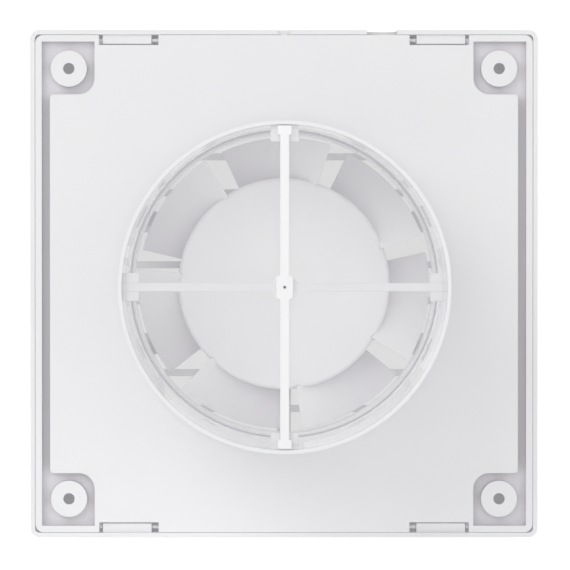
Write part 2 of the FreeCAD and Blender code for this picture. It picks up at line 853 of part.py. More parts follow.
def rotor():
    finish("motor_shaft", group(rod("shaft_radius", "shaft_front", "shaft_rear")))
    finish("rotor_core", ring("rotor_radius", "shaft_radius", "stack_front", "stack_rear"))
    finish("rotor_end_rings", group(
        ring("ring_radius", "ring_bore", "stack_front - ring_thick", "stack_front"),
        ring("ring_radius", "ring_bore", "stack_rear", "stack_rear + ring_thick")))
    finish("thrust_washers", group(
        ring("washer_radius", "shaft_radius", f"{FRONT_BUSH} + bush_play",
             f"{FRONT_BUSH} + bush_play + washer_thick"),
        ring("washer_radius", "shaft_radius", f"{REAR_BUSH} - bush_play - washer_thick",
             f"{REAR_BUSH} - bush_play")))


# ---- impeller ----------------------------------------------------------------------------------


def blade_section(body, radius):
    """The blade cut by the plane x = radius: a thin hollow strip that climbs towards the duct.

    Its leading edge, at +y, is on the room side, and its trailing edge, at -y, on the duct side.
    """
    sketch = new_sketch(body, "YZ_Plane", radius)
    half = f"({radius} * tan(blade_half_angle))"
    corners = [
        (half, "blade_front"), (half, "blade_front + blade_thick"),
        (f"-{half}", "blade_rear"), (f"-{half}", "blade_rear - blade_thick"),
    ]
    add_outline(sketch, corners, {1: hollow_arc("blade_camber"), 3: hollow_arc("blade_camber")})
    return sketch


def impeller():
    hub = new_body()
    turned(hub, "Revolution", [
        (0, "hub_front"), ("hub_radius", "hub_front"), ("hub_radius", "hub_shoulder"),
        (0, "hub_apex"),
    ], {2: axis_arc})
    round_edges(hub, "hub_edge", level_rim(worth("hub_radius"), worth("hub_shoulder")))
    turned(hub, "Groove", [
        (0, "hub_front - cut_past"), ("hub_radius - hub_wall", "hub_front - cut_past"),
        ("hub_radius - hub_wall", "hub_inner_shoulder"),
        ("hub_boss", "hub_apex - hub_wall"), ("hub_boss", "hub_boss_front"), (0, "hub_boss_front"),
    ], {2: axis_arc})
    turned(hub, "Groove",
           rectangle(0, "shaft_socket", "hub_boss_front - cut_past", "socket_end"))

    # one blade, trimmed to run from inside the hub's wall to the tip, then copied round
    strip = new_body()
    loft = strip.newObject("PartDesign::AdditiveLoft", "Blade")
    loft.Profile = blade_section(strip, "blade_root_plane")
    loft.Sections = [blade_section(strip, "blade_tip_plane")]
    strip.Tip = loft
    band = ring("tip_radius", "hub_radius - hub_wall / 2", "hub_front", "hub_apex")
    blade = overlap(strip, band)
    blades = []
    for step in range(BLADE_COUNT):
        copy = group(blade)
        copy.Placement.Rotation = FreeCAD.Rotation(FreeCAD.Vector(0, 0, 1), 360 * step / BLADE_COUNT)
        blades.append(copy)
    wheel = joined(hub, *blades)
    # merging the faces of hub and blades would spoil the curved ones, so they stay as they are
    wheel.Refine = False
    finish("impeller", wheel, worth("blade_turn"))


def impeller_clip():
    band = ring("hub_boss + clip_band", "hub_boss", "clip_low", "clip_high")
    gap = block(("-clip_gap / 2", "clip_gap / 2"), (0, "hub_boss + clip_band + cut_past"),
                ("clip_low - cut_past", "clip_high + cut_past"))
    finish("impeller_clip", cut(band, gap))


# ---- wiring ------------------------------------------------------------------------------------

POLES = ["(block_left + block_right) / 2 + %d * pole_pitch" % step for step in (-1, 0, 1)]


def terminal_block():
    whole = block(("block_left", "block_right"), ("block_low", "block_high"),
                  ("block_front", "block_rear"))
    middle = "(block_low + block_high) / 2"
    cuts = []
    for x in POLES:
        cuts.append(side_rod(FreeCAD.Vector(0, 1, 0), "wire_hole", "block_low - cut_past",
                             "block_high + cut_past", x, "wire_level"))
        cuts.append(rod("well_radius", "block_front - cut_past", "well_floor", x, middle))
        cuts.append(rod("wire_hole", "well_floor - cut_past", "wire_level", x, middle))
    finish("terminal_block", cut(whole, joined(*cuts)))
    finish("terminal_screws", group(*[
        screw(x, middle, "well_floor", "screw_rest", "pole_head") for x in POLES]))


def terminal_cover():
    left, right = "(block_left - lid_margin)", "(block_right + lid_margin)"
    low, high = "(block_low - lid_margin)", "(block_high + lid_margin)"
    lid = block((left, right), (low, high), ("lid_front", "block_rear"))
    flange = block((f"{right} - join_depth", "lug_x + lid_lug"),
                   ("lug_y - lid_lug", "lug_y + lid_lug"),
                   ("lid_post_front - lid_wall", "lid_post_front"))
    open_end = "block_rear + cut_past"
    hollow = block((f"{left} + lid_wall", f"{right} - lid_wall"),
                   (f"{low} + lid_wall", f"{high} - lid_wall"), ("lid_front + lid_wall", open_end))
    # the cable comes in through the top wall, and the leads leave through the bottom one
    top_gate = block(("cable_x - cable_gate / 2", "cable_x + cable_gate / 2"),
                     (f"{high} - lid_wall - cut_past", f"{high} + cut_past"),
                     ("wire_level - lid_gate_depth", open_end))
    low_gate = block((f"{POLES[0]} - lead_gate / 2", f"{POLES[1]} + lead_gate / 2"),
                     (f"{low} - cut_past", f"{low} + lid_wall + cut_past"),
                     ("wire_level - lead_gate_depth", open_end))
    hole = rod("lug_hole", "lid_post_front - lid_wall - cut_past", "lid_post_front + cut_past",
               "lug_x", "lug_y")
    finish("terminal_cover", cut(joined(lid, flange), hollow, top_gate, low_gate, hole))
    finish("terminal_cover_screw", group(
        screw("lug_x", "lug_y", "lid_post_front - lid_wall", "small_screw_tip")))


def cable_clamp():
    span = ("clamp_post_front - clamp_thick", "clamp_post_front")
    bar = block(("cable_x - clamp_length / 2", "cable_x + clamp_length / 2"),
                ("clamp_y - clamp_depth / 2", "clamp_y + clamp_depth / 2"), span)
    ends = [f"cable_x + {side} * clamp_span / 2" for side in SIDES]
    holes = [rod("clamp_hole", f"{span[0]} - cut_past", f"{span[1]} + cut_past", x, "clamp_y")
             for x in ends]
    finish("cable_clamp", cut(bar, *holes))
    finish("cable_clamp_screws", group(*[
        screw(x, "clamp_y", span[0], "small_screw_tip", "clamp_head") for x in ends]))


# where each lead bends, as (x, y) in the plane in front of the carrier: out from the coil, along one
# arm, round the casing's rim and up to its pole
LEAD_BENDS = {
    0: [(-4, -23.1), (6, -18), (21.5, -5), (24.7, 13.2), (42.6, 21.9), (44.2, 23.6), (41.4, 28.2),
        (35.4, 35.4), (28.2, 41.4), (24, 44.2)],
    1: [(4, -23.1), (13, -18), (23.7, -7), (25.9, 11.2), (43.6, 19.8), (46.4, 22.6), (42.6, 29.2),
        (37, 37), (35, 40)],
}
LEAD_SHIFT = {0: 0, 1: 3}


def motor_leads():
    """Two insulated wires, from the coil along the front of the carrier to the terminal block."""
    round_corners = 2
    plane, level = worth("lead_plane"), worth("wire_level")
    coil_face = worth("bobbin_front - lead_radius")
    edge, inside = worth("block_low - lead_turn"), worth("block_low + lead_turn")
    drop = worth("lead_drop")
    leads = []
    for pole, bends in LEAD_BENDS.items():
        pole_x = worth(POLES[pole])
        side_x = pole_x + LEAD_SHIFT[pole]
        start_x, start_y = bends[0]
        points = [(start_x, start_y - worth("join_depth"), coil_face)]
        points += [(x, y, plane) for x, y in bends]
        points += [
            (side_x, drop, plane),
            (side_x, drop + worth("join_depth"), level),
            (pole_x, edge, level),
            (pole_x, inside, level),
        ]
        vectors = [FreeCAD.Vector(*point) for point in points]
        circle = Part.makeCircle(worth("lead_radius"), vectors[0], vectors[1] - vectors[0])
        path = Part.makePolygon(vectors)
        leads.append(path.makePipeShell([Part.Wire(circle)], True, True, round_corners))
    feature = doc.addObject("Part::Feature", "Leads")
    feature.Shape = Part.makeCompound(leads)
    finish("motor_leads", feature)


# ---- front cover -------------------------------------------------------------------------------


def front_cover():
    body = new_body()
    inside = "(cover_side - 2 * skirt_wall)"
    face_rear = "(cover_front + cover_face)"
    extrude(body, "Pad", "cover_front", face_rear, [square("cover_side")], [("intake_radius",)])
    extrude(body, "Pad", face_rear, "skirt_rear", [square("cover_side"), square(inside)])
    half, inner_half = worth("cover_side / 2"), worth(f"{inside} / 2")
    round_edges(body, "cover_corner", upright_edge((half, half)))
    round_edges(body, "skirt_corner", upright_edge((inner_half, inner_half)))
    round_edges(body, "cover_edge", outer_edge(half, worth("cover_front")))

    # a raised lip round the intake
    extrude(body, "Pad", "lip_front", "cover_front + join_depth", [],
            [("lip_radius",), ("intake_radius",)])
    lip_radius, lip_front = worth("lip_radius"), worth("lip_front")
    round_edges(body, "lip_edge", level_rim(lip_radius, lip_front))
    round_edges(body, "lip_edge", level_rim(worth("intake_radius"), lip_front))

    extrude(body, "Pad", f"{face_rear} - join_depth", "tongue_rear",
            in_each_corner(("tongue_inner", "tongue_outer"), ("tongue_low", "tongue_high")))

    # a grille of level bars and one upright across the intake
    reach = ("-intake_radius - join_depth", "intake_radius + join_depth")
    bars = []
    for step in GRILLE_STEPS:
        middle = f"{step} * grille_pitch"
        bars.append(rectangle(*reach, f"{middle} - grille_bar / 2", f"{middle} + grille_bar / 2"))
    extrude(body, "Pad", "cover_front", "cover_front + grille_depth", bars)
    spine = rectangle("-grille_bar", "grille_bar", *reach)
    extrude(body, "Pad", "cover_front", "cover_front + grille_spine", [spine])

    # the slot where the cable enters, with a round end, and the release notch, both in the top wall
    slot_turn = "skirt_rear - cable_depth + cable_width / 2"
    slot = new_sketch(body, "XZ_Plane")
    add_outline(slot, rectangle("cable_x - cable_width / 2", "cable_x + cable_width / 2",
                                slot_turn, "skirt_rear + cut_past"))
    slot_end = new_sketch(body, "XZ_Plane")
    add_circle(slot_end, "cable_width / 2", "cable_x", slot_turn)
    for profile in (slot, slot_end):
        pocket = body.newObject("PartDesign::Pocket", "CableSlot")
        pocket.Profile = profile
        bind(pocket, Length="cover_side")
        body.Tip = pocket
    release = [
        ("-release_inner / 2", "cover_side / 2 - skirt_wall - release_past"),
        ("release_inner / 2", "cover_side / 2 - skirt_wall - release_past"),
        ("release_outer / 2", "cover_side / 2 + release_past"),
        ("-release_outer / 2", "cover_side / 2 + release_past"),
    ]
    extrude(body, "Pocket", "skirt_rear - release_depth", "skirt_rear", [release])
    finish("front_cover", body)


# ---- the whole fan -----------------------------------------------------------------------------

rear_housing()
valve_clamp_bar()
flap("flap_left", 1)
flap("flap_right", -1)
motor_carrier()
carrier_screws()
stator_laminations()
shading_rings()
coil_bobbin()
coil_winding()
thermal_fuse()
bearing_bracket("front_bearing_bracket", "stack_front", -1)
bearing_bracket("rear_bearing_bracket", "stack_rear", 1)
bearings()
motor_fixings()
rotor()
impeller()
impeller_clip()
terminal_block()
terminal_cover()
cable_clamp()
motor_leads()
front_cover()

doc.recompute()
for item in doc.Objects:
    if "Invalid" in item.State or "Error" in item.State:
        raise RuntimeError(f"{item.Name} ({item.Label}) did not compute: {item.State}")
for item in finished:
    if item.Shape.isNull() or not item.Shape.isValid():
        raise RuntimeError(f"{item.Label} has no valid shape")

os.makedirs("parts", exist_ok=True)
for item in finished:
    item.Shape.exportStep(f"parts/{item.Label}.step")
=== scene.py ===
import math

import bmesh
import bpy
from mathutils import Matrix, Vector


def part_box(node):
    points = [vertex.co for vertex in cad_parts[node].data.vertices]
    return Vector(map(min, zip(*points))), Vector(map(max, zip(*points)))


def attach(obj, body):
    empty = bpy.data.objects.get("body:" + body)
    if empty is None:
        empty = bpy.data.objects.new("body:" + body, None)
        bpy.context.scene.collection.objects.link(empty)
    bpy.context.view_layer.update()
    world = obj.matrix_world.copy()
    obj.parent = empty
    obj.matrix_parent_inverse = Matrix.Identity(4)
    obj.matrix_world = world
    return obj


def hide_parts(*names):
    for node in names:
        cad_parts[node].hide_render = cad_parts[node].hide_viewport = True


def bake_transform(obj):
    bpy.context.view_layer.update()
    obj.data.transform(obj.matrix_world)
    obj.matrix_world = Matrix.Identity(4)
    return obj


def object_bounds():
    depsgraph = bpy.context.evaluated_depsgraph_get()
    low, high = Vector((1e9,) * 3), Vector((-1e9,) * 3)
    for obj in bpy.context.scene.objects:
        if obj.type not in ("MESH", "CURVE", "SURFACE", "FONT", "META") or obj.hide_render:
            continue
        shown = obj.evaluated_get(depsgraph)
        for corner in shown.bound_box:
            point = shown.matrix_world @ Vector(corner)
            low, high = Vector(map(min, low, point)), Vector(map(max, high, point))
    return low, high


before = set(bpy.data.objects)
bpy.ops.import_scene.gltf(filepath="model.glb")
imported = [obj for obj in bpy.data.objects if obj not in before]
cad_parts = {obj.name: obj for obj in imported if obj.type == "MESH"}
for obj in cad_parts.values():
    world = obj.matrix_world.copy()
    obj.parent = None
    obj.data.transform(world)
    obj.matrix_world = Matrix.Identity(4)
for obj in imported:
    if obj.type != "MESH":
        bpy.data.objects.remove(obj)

# The looks of the bathroom extractor fan: its materials, the film valve and the wound coil, and a plain
# studio. Positions come from the CAD frame, in metres: Y runs along the air flow into the duct, Z is up.

MM = 0.001
cad_low, cad_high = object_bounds()

# places on the fan that a finish, a painted shade or a painted glow depends on, and ranges over which one
# fades into another
SPIGOT_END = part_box("rear_housing")[1].y
SPIGOT_INNER = 48.1 * MM
SPIGOT_BLEND = (SPIGOT_INNER, SPIGOT_INNER + 0.3 * MM)
WALL_BLEND = (0.0, 0.5 * MM)
CARRIER_BORE = 46.8 * MM
RING_GLOW_BLEND = (CARRIER_BORE - 0.2 * MM, CARRIER_BORE - 0.05 * MM)
SLEEVE_END = 3.0 * MM
END_SHADE_BLEND = (SLEEVE_END - 0.1 * MM, SLEEVE_END - 0.05 * MM)
# depth and radius ranges over which painted shade greys the blades and the hub
BLADE_SHADE_BLEND = (-17.5 * MM, -3 * MM)
HUB_SHADE_BLEND = (6 * MM, 32 * MM)

# base colours
WHITE_ABS = (0.87, 0.87, 0.88)
IMPELLER_WHITE = (0.84, 0.835, 0.840)
# painted shade: greyer colours for deep among the impeller's blades, the hub's centre and the carrier
# sleeve's end
BLADE_DEPTH_PAINTED_SHADE = (0.72, 0.705, 0.73)
HUB_PAINTED_SHADE = (0.72, 0.717, 0.717)
SLEEVE_END_PAINTED_SHADE = (0.78, 0.77, 0.79)
ENAMELLED_COPPER = (0.60, 0.24, 0.10)
ELECTRICAL_STEEL = (0.30, 0.30, 0.32)
STEEL_RUST = (0.24, 0.19, 0.15)
SHEET_GAP = (0.05, 0.05, 0.055)
RUBBER = (0.02, 0.02, 0.02)
RUBBER_DUST = (0.06, 0.06, 0.06)
LEAD_BLUE = (0.03, 0.09, 0.38)
LEAD_BROWN = (0.16, 0.06, 0.025)
FILM_CLEAR = (0.985, 0.985, 0.986)
FILM_HAZE = (0.95, 0.95, 0.957)
FLOOR_WHITE = (0.93, 0.93, 0.93)
# painted shade: darker colours laid into nooks and deep holes, where shade falls
NOOK_PAINTED_SHADE = (0.83, 0.81, 0.85)
HOLE_PAINTED_SHADE = (0.30, 0.26, 0.29)

# moulded finishes: name, colour, roughness, painted glow (emission standing in for light) and the CAD nodes
# that have them
MOULDINGS = [
    ("white_abs", (0.91, 0.91, 0.92), 0.36, 0.11, ["valve_clamp_bar"]),
    ("white_abs_front", (0.90, 0.90, 0.91), 0.36, 0.06, ["front_cover"]),
    ("nylon", (0.80, 0.79, 0.74), 0.45, 0.09,
     ["coil_bobbin", "thrust_washers", "terminal_block", "terminal_cover", "cable_clamp"]),
    ("fuse_resin", (0.62, 0.55, 0.42), 0.5, 0.09, ["thermal_fuse"]),
]

# metal finishes: name, colour, roughness and the CAD nodes that have them
METALS = [
    ("zinc_steel", (0.66, 0.67, 0.69), 0.28,
     ["carrier_screws", "motor_mount_screws", "terminal_cover_screw", "cable_clamp_screws", "motor_shaft",
      "impeller_clip", "bush_retainers", "front_bearing_bracket", "rear_bearing_bracket"]),
    ("cast_aluminium", (0.72, 0.73, 0.75), 0.45, ["rotor_end_rings"]),
    ("sintered_bronze", (0.55, 0.36, 0.17), 0.5, ["front_bush", "rear_bush"]),
    ("brass", (0.78, 0.58, 0.26), 0.25, ["terminal_screws"]),
    ("copper_bar", (0.72, 0.34, 0.18), 0.3, ["shading_rings"]),
]

# bump strength, bump depth and edge radius of each kind of surface
METAL_SURFACE = (0.3, 0.01 * MM, 0.12 * MM)
SHEET_SURFACE = (0.6, 0.04 * MM)
RUBBER_SURFACE = (0.4, 0.02 * MM, 0.15 * MM)
LEAD_SURFACE = (0.2, 0.02 * MM)
EDGE_SAMPLES = 6

# what part of a noise's range counts, and how far it changes roughness and shade
CLOUD_RANGE = (0.25, 0.75)
PATCH_RANGE = (0.3, 0.7)
CLOUD_SMOOTHER, CLOUD_ROUGHER = 0.92, 1.08
MOTTLE_SHADE = 0.985
LINE_SMOOTHER, LINE_ROUGHER = 0.8, 1.25
LINE_SHADE = 0.88

# moulded plastic: its grain, its painted glow, and how far painted shade darkens nooks and holes
CLOUD_SCALE = 55.0
GRAIN_SCALE = 2600.0
GRAIN_DETAIL = 2.0
GRAIN_DEPTH = 0.008 * MM
GRAIN_STRENGTH = 0.35
PLASTIC_EDGE = 0.25 * MM
PLASTIC_ROUGHNESS = 0.36
PLASTIC_SPECULAR = 0.45
# painted glow: emission strengths that brighten plastics which are no lamps
HOUSING_PAINTED_GLOW = 0.09
IMPELLER_PAINTED_GLOW = 0.09
CARRIER_PAINTED_GLOW = 0.05
RING_PAINTED_GLOW = 0.14
NOOK_REACH = 6 * MM
NOOK_SAMPLES = 3
NOOK_OPEN = (0.15, 0.85)
HOLE_OPEN = (0.02, 0.12)

# the spigot's polished inside, beside the matt rest of the housing
SPIGOT_CLOUD_SCALE = 40.0
MATT_ROUGHNESS = (0.35, 0.42)
POLISHED_ROUGHNESS = (0.04, 0.07)
POLISHED_STRENGTH = 0.02

# the impeller's finer, glossier plastic
IMPELLER_ROUGHNESS = 0.32
IMPELLER_GRAIN_SCALE = 3200.0
IMPELLER_GRAIN_DEPTH = 0.002 * MM

# bare metal and the motor's steel sheets
DRAWN_SCALE = 900.0
DRAWN_DETAIL = 4.0
ENAMEL_ROUGHNESS = 0.22
ENAMEL_STRETCH = (8, 1, 1)
SHEET_THICKNESS = 0.5 * MM
SHEET_GAP_RANGE = (0.36, 0.47)
SHEET_ROUGHNESS = 0.42
SHEET_METALLIC = 0.9
RUST_SCALE = 180.0
RUST_RANGE = (0.55, 0.75)

# rubber and the leads' insulation
DUST_SCALE = 300.0
DUST_RANGE = (0.4, 0.8)
RUBBER_SCALE = 3000.0
RUBBER_ROUGHNESS = 0.75
LEAD_SCALE = 900.0
LEAD_ROUGHNESS = 0.4

# clear film of the valve: its look and its mesh
WAVE_SCALE = 45.0
WAVE_DETAIL = 2.0
WAVE_STRENGTH = 0.25
WAVE_DEPTH = 0.3 * MM
FILM_ROUGHNESS = 0.05
FILM_IOR = 1.3
HAZE_SHARE = 0.06
HAZE_PASSED = 0.35
FILM_THICK = 0.12 * MM
FILM_INNER_EDGE = 1.42 * MM
FILM_ROWS = 40
FILM_COLUMNS = 28
FILM_RIPPLE = 0.1 * MM
RIPPLE_TURN = 2.2
RIPPLE_START = 1.1
MERGE_DISTANCE = 0.01 * MM

# wound coil
COIL_TURNS = 38
STEPS_PER_TURN = 4
RING_STEPS = 72
GROOVE_DEPTH = 0.16 * MM
SHOULDER_DEPTH = 0.4 * MM
SHOULDER_FROM = 0.9
CORNER_POWER = 5.0

# studio
FLOOR_DROP = 1.5 * MM
FLOOR_HALF_WIDTH = 6.0
FLOOR_NEAR = 3.0
FLOOR_FAR = -2.0
FLOOR_ROUGHNESS = 0.8
BACKDROP_HIGH = 4.0
BACKDROP_BEND = 1.0
BEND_STEPS = 12
FLOOR_GLOW = 0.17
FLOOR_GLOW_SEEN = 0.42
FLOOR_GLOW_THROUGH_FILM = 0.06
WORLD_SEEN = 1.0
WORLD_LIGHT = 0.40
KEY_PLACE = (0.77, 1.68, 0.77)
KEY_SIZE = 1.0
KEY_POWER = 8.0
FRONT_PLACE = (-0.35, 2.2, 0.05)
FRONT_SIZE = 1.6
FRONT_POWER = 12.8
DUCT_FILL_SIZE = 90 * MM
DUCT_FILL_DEPTH = 12 * MM
DUCT_FILL_POWER = 0.010

# camera
CAMERA_PLACE = (3.5 * MM, 1.476, 19.0 * MM)
CAMERA_AIM = (-0.3 * MM, 0.0, -0.37 * MM)
VIEW_WIDTH = 177.5 * MM
SENSOR_WIDTH = 36.0
CLIP_RANGE = (0.05, 50.0)


# ---- materials ---------------------------------------------------------------------------------


def opaque(colour, share=1.0):
    """A colour as a node wants it, with each channel scaled."""
    return (*[channel * share for channel in colour], 1)


class Recipe:
    """A material under construction: a Principled shader and short calls to add and join nodes."""

    def __init__(self, name):
        self.material = bpy.data.materials.new(name)
        self.material.use_nodes = True
        self.tree = self.material.node_tree
        self.shader = self.tree.nodes["Principled BSDF"]
        self.place = self.add("ShaderNodeTexCoord").outputs["Object"]
        self.base = None
        self.bump = None

    def add(self, kind, inputs=None, **settings):
        node = self.tree.nodes.new(kind)
        for key, value in settings.items():
            setattr(node, key, value)
        for key, value in (inputs or {}).items():
            self.put(node.inputs[key], value)
        return node

    def put(self, socket, value):
        """Give a socket a plain value, or join another node's output to it."""
        if isinstance(value, bpy.types.NodeSocket):
            self.tree.links.new(value, socket)
        else:
            socket.default_value = value

    def set(self, **inputs):
        for key, value in inputs.items():
            self.put(self.shader.inputs[key.replace("_", " ")], value)

    def noise(self, scale, detail=3.0):
        node = self.add("ShaderNodeTexNoise", {"Vector": self.place, "Scale": scale, "Detail": detail})
        return node.outputs["Fac"]

    def sums(self, operation, *values):
        node = self.add("ShaderNodeMath", operation=operation)
        for socket, value in zip(node.inputs, values):
            self.put(socket, value)
        return node.outputs[0]

    def ramp(self, value, low, high, low_out=0.0, high_out=1.0):
        """value from low to high, moved to low_out to high_out and held at both ends."""
        node = self.add("ShaderNodeMapRange", {"Value": value, "From Min": low, "From Max": high,
                                               "To Min": low_out, "To Max": high_out})
        return node.outputs["Result"]

    def between(self, share, first, second):
        """A value from first to second by a share from 0 to 1."""
        return self.ramp(share, 0.0, 1.0, first, second)

    def mix(self, share, first, second):
        """One colour blended into another by a share from 0 to 1."""
        node = self.add("ShaderNodeMix", data_type="RGBA")
        for name, value in (("Factor", share), ("A", first), ("B", second)):
            socket = [s for s in node.inputs if s.name == name and s.enabled][0]
            self.put(socket, value)
        return [s for s in node.outputs if s.enabled][0]

    def mix_shaders(self, share, first, second):
        node = self.add("ShaderNodeMixShader")
        for socket, value in zip(node.inputs, (share, first, second)):
            self.put(socket, value)
        return node.outputs[0]

    def coordinates(self):
        node = self.add("ShaderNodeSeparateXYZ", {"Vector": self.place})
        return [node.outputs[axis] for axis in "XYZ"]

    def radius(self):
        """The distance from the fan's axis."""
        x, _, z = self.coordinates()
        squares = [self.sums("MULTIPLY", value, value) for value in (x, z)]
        return self.sums("SQRT", self.sums("ADD", *squares))

    def surface(self, height, strength, distance, edge=0.0):
        """Bump from a height, over edges rounded off by the given radius."""
        self.bump = self.add("ShaderNodeBump",
                             {"Height": height, "Strength": strength, "Distance": distance})
        if edge:
            rounded = self.add("ShaderNodeBevel", {"Radius": edge}, samples=EDGE_SAMPLES)
            self.put(self.bump.inputs["Normal"], rounded.outputs[0])
        self.set(Normal=self.bump.outputs[0])


def moulded_plastic(name, colour, roughness, glow, grain=GRAIN_SCALE, grain_depth=GRAIN_DEPTH):
    """Injection-moulded plastic: faint mottling, flow clouds in its gloss and a fine spark-eroded grain.

    Nooks get painted shade and deep holes darker painted shade still; the painted glow, emission on plastic
    that is no lamp, stands in for light let through thin walls.
    """
    recipe = Recipe(name)
    clouds = recipe.noise(CLOUD_SCALE)
    mottled = recipe.mix(recipe.ramp(clouds, *PATCH_RANGE), opaque(colour, MOTTLE_SHADE), opaque(colour))
    # painted shade: nooks that the occlusion node finds get a darker colour, and deep holes a darker one
    # still
    nook = recipe.add("ShaderNodeAmbientOcclusion", {"Distance": NOOK_REACH},
                      samples=NOOK_SAMPLES, only_local=True)
    open_share = recipe.ramp(nook.outputs["AO"], *NOOK_OPEN)
    nook_painted_shade_colour = [channel * share for channel, share in zip(colour, NOOK_PAINTED_SHADE)]
    shaded = recipe.mix(open_share, opaque(nook_painted_shade_colour), mottled)
    lit_share = recipe.ramp(nook.outputs["AO"], *HOLE_OPEN)
    recipe.base = recipe.mix(lit_share, opaque(HOLE_PAINTED_SHADE), shaded)
    recipe.set(Base_Color=recipe.base)
    smoother, rougher = roughness * CLOUD_SMOOTHER, roughness * CLOUD_ROUGHER
    recipe.set(Roughness=recipe.ramp(clouds, *CLOUD_RANGE, smoother, rougher))
    recipe.set(Specular_IOR_Level=PLASTIC_SPECULAR)
    # painted glow: emission that brightens the plastic though it is no lamp
    recipe.set(Emission_Color=opaque(colour), Emission_Strength=glow)
    recipe.surface(recipe.noise(grain, GRAIN_DETAIL), GRAIN_STRENGTH, grain_depth, PLASTIC_EDGE)
    return recipe


def housing_plastic():
    """The white plastic of the housing, polished inside the spigot where the core pin drew out."""
    recipe = moulded_plastic("white_abs_housing", WHITE_ABS, PLASTIC_ROUGHNESS, HOUSING_PAINTED_GLOW)
    inside = recipe.ramp(recipe.radius(), *SPIGOT_BLEND, 1.0, 0.0)
    _, along, _ = recipe.coordinates()
    behind = recipe.ramp(along, *WALL_BLEND)
    polished = recipe.sums("MULTIPLY", inside, behind)
    clouds = recipe.noise(SPIGOT_CLOUD_SCALE)
    matt = recipe.ramp(clouds, *CLOUD_RANGE, *MATT_ROUGHNESS)
    gloss = recipe.ramp(clouds, *CLOUD_RANGE, *POLISHED_ROUGHNESS)
    blend = recipe.add("ShaderNodeMix", {"Factor": polished, "A": matt, "B": gloss}, data_type="FLOAT")
    recipe.set(Roughness=blend.outputs["Result"])
    recipe.put(recipe.bump.inputs["Strength"], recipe.between(polished, GRAIN_STRENGTH, POLISHED_STRENGTH))
    return recipe.material


def impeller_plastic():
    """The impeller's plastic, with painted shade making it a little greyer deep among the blades and towards
    the tip of the hub.
    """
    recipe = moulded_plastic("impeller_abs", IMPELLER_WHITE, IMPELLER_ROUGHNESS, IMPELLER_PAINTED_GLOW,
                             IMPELLER_GRAIN_SCALE, IMPELLER_GRAIN_DEPTH)
    _, along, _ = recipe.coordinates()
    # painted shade: the blades turn greyer the deeper they lie
    open_share = recipe.ramp(along, *BLADE_SHADE_BLEND)
    blades = recipe.mix(open_share, opaque(BLADE_DEPTH_PAINTED_SHADE), recipe.base)
    # painted shade: the hub greys towards its centre
    hub_share = recipe.ramp(recipe.radius(), *HUB_SHADE_BLEND)
    recipe.set(Base_Color=recipe.mix(hub_share, opaque(HUB_PAINTED_SHADE), blades))
    return recipe.material


def carrier_plastic():
    """The motor carrier's plastic: a painted glow on its thin ring stands in for light let through it, and
    painted shade makes its end in the duct greyer.
    """
    recipe = moulded_plastic("white_abs_carrier", WHITE_ABS, PLASTIC_ROUGHNESS, CARRIER_PAINTED_GLOW)
    _, along, _ = recipe.coordinates()
    # painted shade greys the sleeve's end face; painted glow brightens the thin bore ring but not that end
    end_share = recipe.ramp(along, *END_SHADE_BLEND)
    ring_share = recipe.ramp(recipe.radius(), *RING_GLOW_BLEND)
    lit_share = recipe.sums("MULTIPLY", ring_share, recipe.sums("SUBTRACT", 1.0, end_share))
    recipe.set(Base_Color=recipe.mix(end_share, recipe.base, opaque(SLEEVE_END_PAINTED_SHADE)))
    # painted glow: the bore ring gets stronger emission than the rest of the carrier
    recipe.set(Emission_Strength=recipe.between(lit_share, CARRIER_PAINTED_GLOW, RING_PAINTED_GLOW))
    return recipe.material


def metal(name, colour, roughness, stretch=(1, 1, 1)):
    """Bare metal with fine drawn lines and patchy roughness."""
    recipe = Recipe(name)
    mapping = recipe.add("ShaderNodeMapping", {"Vector": recipe.place, "Scale": stretch})
    noise = recipe.add("ShaderNodeTexNoise",
                       {"Vector": mapping.outputs[0], "Scale": DRAWN_SCALE, "Detail": DRAWN_DETAIL})
    lines = noise.outputs["Fac"]
    shade = recipe.ramp(lines, *PATCH_RANGE)
    recipe.set(Metallic=1.0, Base_Color=recipe.mix(shade, opaque(colour, LINE_SHADE), opaque(colour)))
    smoother, rougher = roughness * LINE_SMOOTHER, roughness * LINE_ROUGHER
    recipe.set(Roughness=recipe.ramp(lines, *PATCH_RANGE, smoother, rougher))
    recipe.surface(lines, *METAL_SURFACE)
    return recipe.material


def laminations():
    """Electrical steel sheets, half a millimetre thick, stacked along the fan's axis."""
    recipe = Recipe("electrical_steel")
    _, along, _ = recipe.coordinates()
    phase = recipe.sums("FRACT", recipe.sums("DIVIDE", along, SHEET_THICKNESS))
    from_middle = recipe.sums("ABSOLUTE", recipe.sums("SUBTRACT", phase, 0.5))
    gap = recipe.ramp(from_middle, *SHEET_GAP_RANGE)
    rust = recipe.ramp(recipe.noise(RUST_SCALE), *RUST_RANGE)
    steel = recipe.mix(rust, opaque(ELECTRICAL_STEEL), opaque(STEEL_RUST))
    recipe.set(Base_Color=recipe.mix(gap, steel, opaque(SHEET_GAP)))
    recipe.set(Metallic=SHEET_METALLIC, Roughness=SHEET_ROUGHNESS)
    recipe.surface(recipe.sums("SUBTRACT", 1.0, gap), *SHEET_SURFACE)
    return recipe.material


def rubber():
    """Black rubber with a little dust on it."""
    recipe = Recipe("black_rubber")
    dust = recipe.ramp(recipe.noise(DUST_SCALE), *DUST_RANGE)
    recipe.set(Base_Color=recipe.mix(dust, opaque(RUBBER), opaque(RUBBER_DUST)), Roughness=RUBBER_ROUGHNESS)
    recipe.surface(recipe.noise(RUBBER_SCALE), *RUBBER_SURFACE)
    return recipe.material


def wire_insulation():
    """PVC insulation, blue on one lead and brown on the other."""
    recipe = Recipe("lead_insulation")
    island = recipe.add("ShaderNodeNewGeometry").outputs["Random Per Island"]
    which = recipe.sums("GREATER_THAN", island, 0.5)
    recipe.set(Base_Color=recipe.mix(which, opaque(LEAD_BLUE), opaque(LEAD_BROWN)), Roughness=LEAD_ROUGHNESS)
    recipe.surface(recipe.noise(LEAD_SCALE), *LEAD_SURFACE)
    return recipe.material


